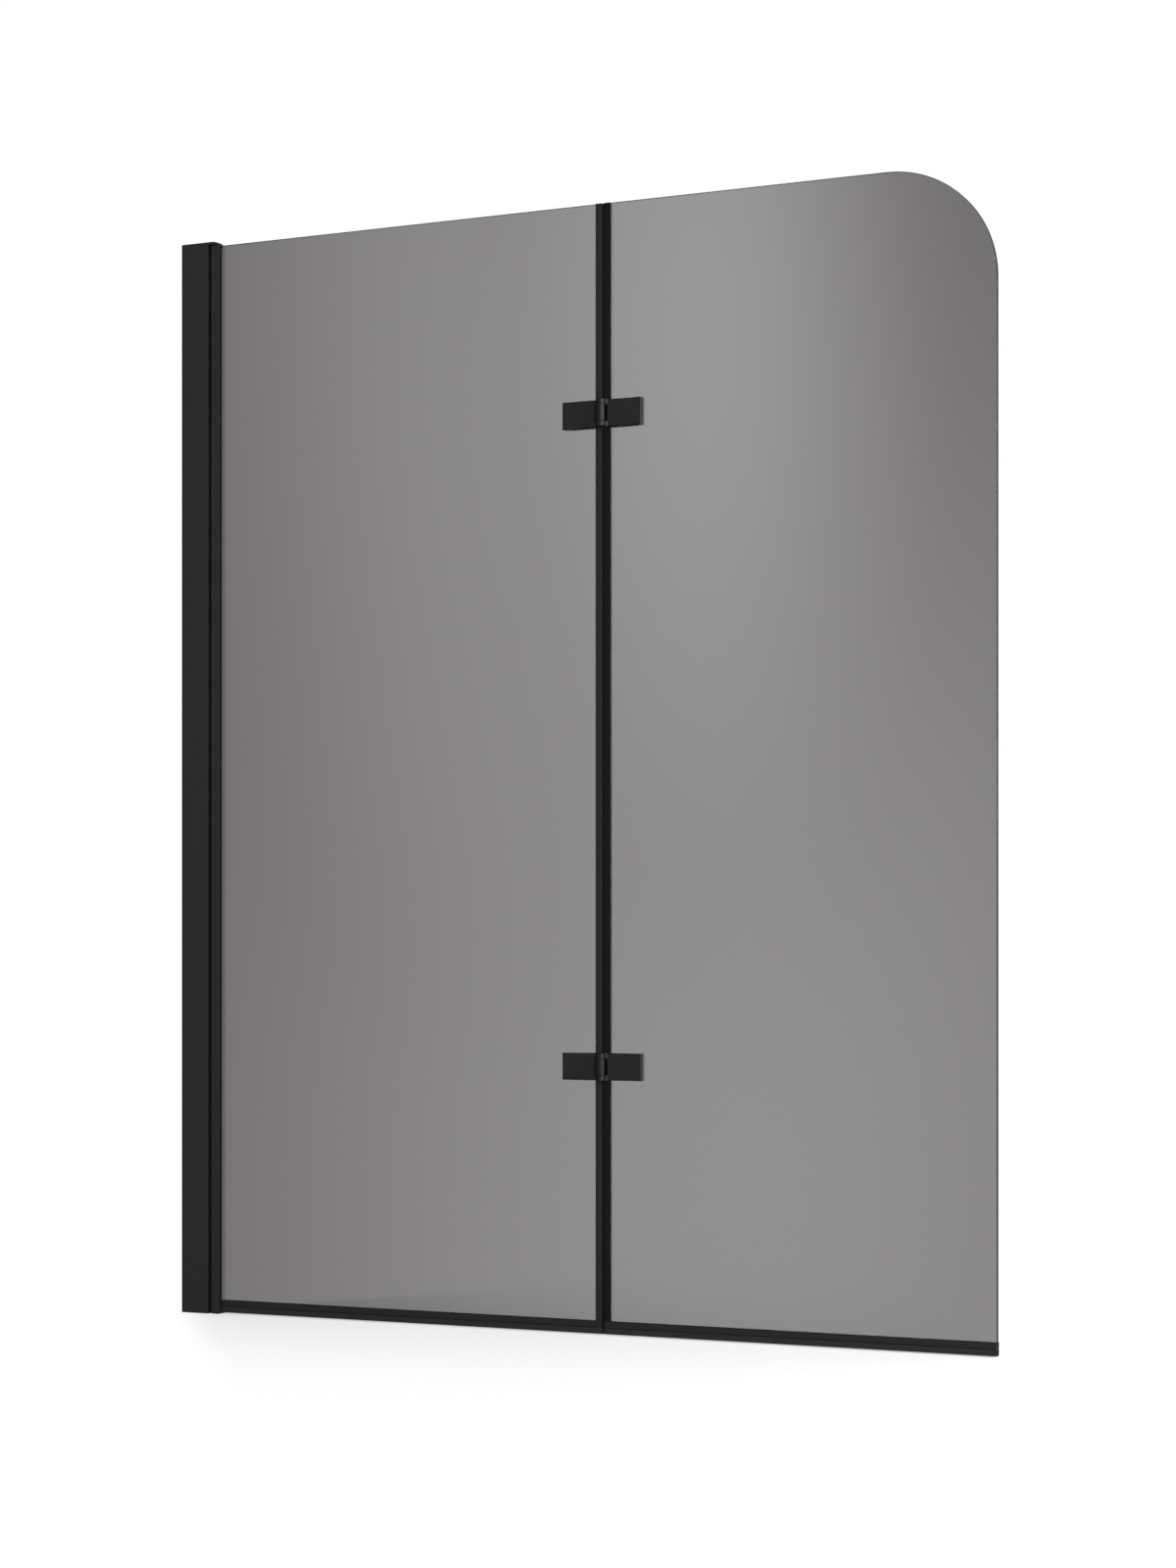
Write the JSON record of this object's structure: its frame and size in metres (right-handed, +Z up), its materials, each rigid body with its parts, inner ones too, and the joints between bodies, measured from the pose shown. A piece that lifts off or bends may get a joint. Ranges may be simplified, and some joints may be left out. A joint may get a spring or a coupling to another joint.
{
  "type": "bath screen",
  "caption": "Folding bath screen of smoked glass with a black wall channel, an adjusting profile, a hinged pane with a rounded top corner, and bottom seals.",
  "frame": {"origin": "on the wall face of the wall channel, in the middle of the glass thickness, at the level of the bath rim", "axes": "+X from the wall along the screen to its free edge, +Y through the glass from the hinge side to the back, +Z up"},
  "size_m": [1.1, 0.0365, 1.4038],
  "materials": {
    "black_aluminium": "satin",
    "smoked_glass": "gloss",
    "black_zinc": "satin",
    "black_abs": "satin",
    "black_pvc": "satin",
    "black_soft_pvc": "matte",
    "black_rubber": "matte",
    "white_nylon": "satin",
    "black_steel": "satin",
    "stainless_steel": "satin"
  },
  "bodies": {
    "wall_channel": {"channel_bottom_cap": "black_abs", "channel_top_cap": "black_abs", "wall_channel": "black_aluminium"},
    "fixed_panel": {"adjusting_profile": "black_aluminium", "back_glazing_gasket": "black_rubber", "fixed_bottom_clip": "black_pvc", "fixed_edge_seal_lower": "black_pvc", "fixed_edge_seal_middle": "black_pvc", "fixed_edge_seal_upper": "black_pvc", "fixed_glass": "smoked_glass", "fixed_wiper": "black_rubber", "front_glazing_gasket": "black_rubber", "glass_edge_spacers": "white_nylon", "lock_screw_caps": "black_abs", "lock_screws": "stainless_steel", "lock_washers": "stainless_steel", "lower_hinge_fixed_back_pad": "black_rubber", "lower_hinge_fixed_clamp": "black_zinc", "lower_hinge_fixed_front_pad": "black_rubber", "lower_hinge_fixed_glass_bushes": "white_nylon", "lower_hinge_fixed_leaf": "black_zinc", "lower_hinge_fixed_screws": "black_steel", "lower_hinge_pin_liner": "black_abs", "profile_foot": "black_abs", "upper_hinge_fixed_back_pad": "black_rubber", "upper_hinge_fixed_clamp": "black_zinc", "upper_hinge_fixed_front_pad": "black_rubber", "upper_hinge_fixed_glass_bushes": "white_nylon", "upper_hinge_fixed_leaf": "black_zinc", "upper_hinge_fixed_screws": "black_steel", "upper_hinge_pin_liner": "black_abs"},
    "folding_panel": {"folding_bottom_clip": "black_pvc", "folding_edge_seal_lower": "black_soft_pvc", "folding_edge_seal_middle": "black_soft_pvc", "folding_edge_seal_upper": "black_soft_pvc", "folding_glass": "smoked_glass", "folding_wiper": "black_rubber", "lower_hinge_folding_back_pad": "black_rubber", "lower_hinge_folding_clamp": "black_zinc", "lower_hinge_folding_front_pad": "black_rubber", "lower_hinge_folding_glass_bushes": "white_nylon", "lower_hinge_folding_leaf": "black_zinc", "lower_hinge_folding_screws": "black_steel", "lower_hinge_pin": "stainless_steel", "lower_hinge_washers": "black_abs", "upper_hinge_folding_back_pad": "black_rubber", "upper_hinge_folding_clamp": "black_zinc", "upper_hinge_folding_front_pad": "black_rubber", "upper_hinge_folding_glass_bushes": "white_nylon", "upper_hinge_folding_leaf": "black_zinc", "upper_hinge_folding_screws": "black_steel", "upper_hinge_pin": "stainless_steel", "upper_hinge_washers": "black_abs"}
  },
  "joints": [
    {"name": "width_adjust", "type": "slide", "parent": "wall_channel", "child": "fixed_panel", "axis": [1, 0, 0], "range_m": [-0.002, 0.013]},
    {"name": "panel_fold", "type": "hinge", "parent": "fixed_panel", "child": "folding_panel", "pos_m": [0.6, -0.012, 0.7], "axis": [0, 0, -1], "range_deg": [0, 180]}
  ]
}
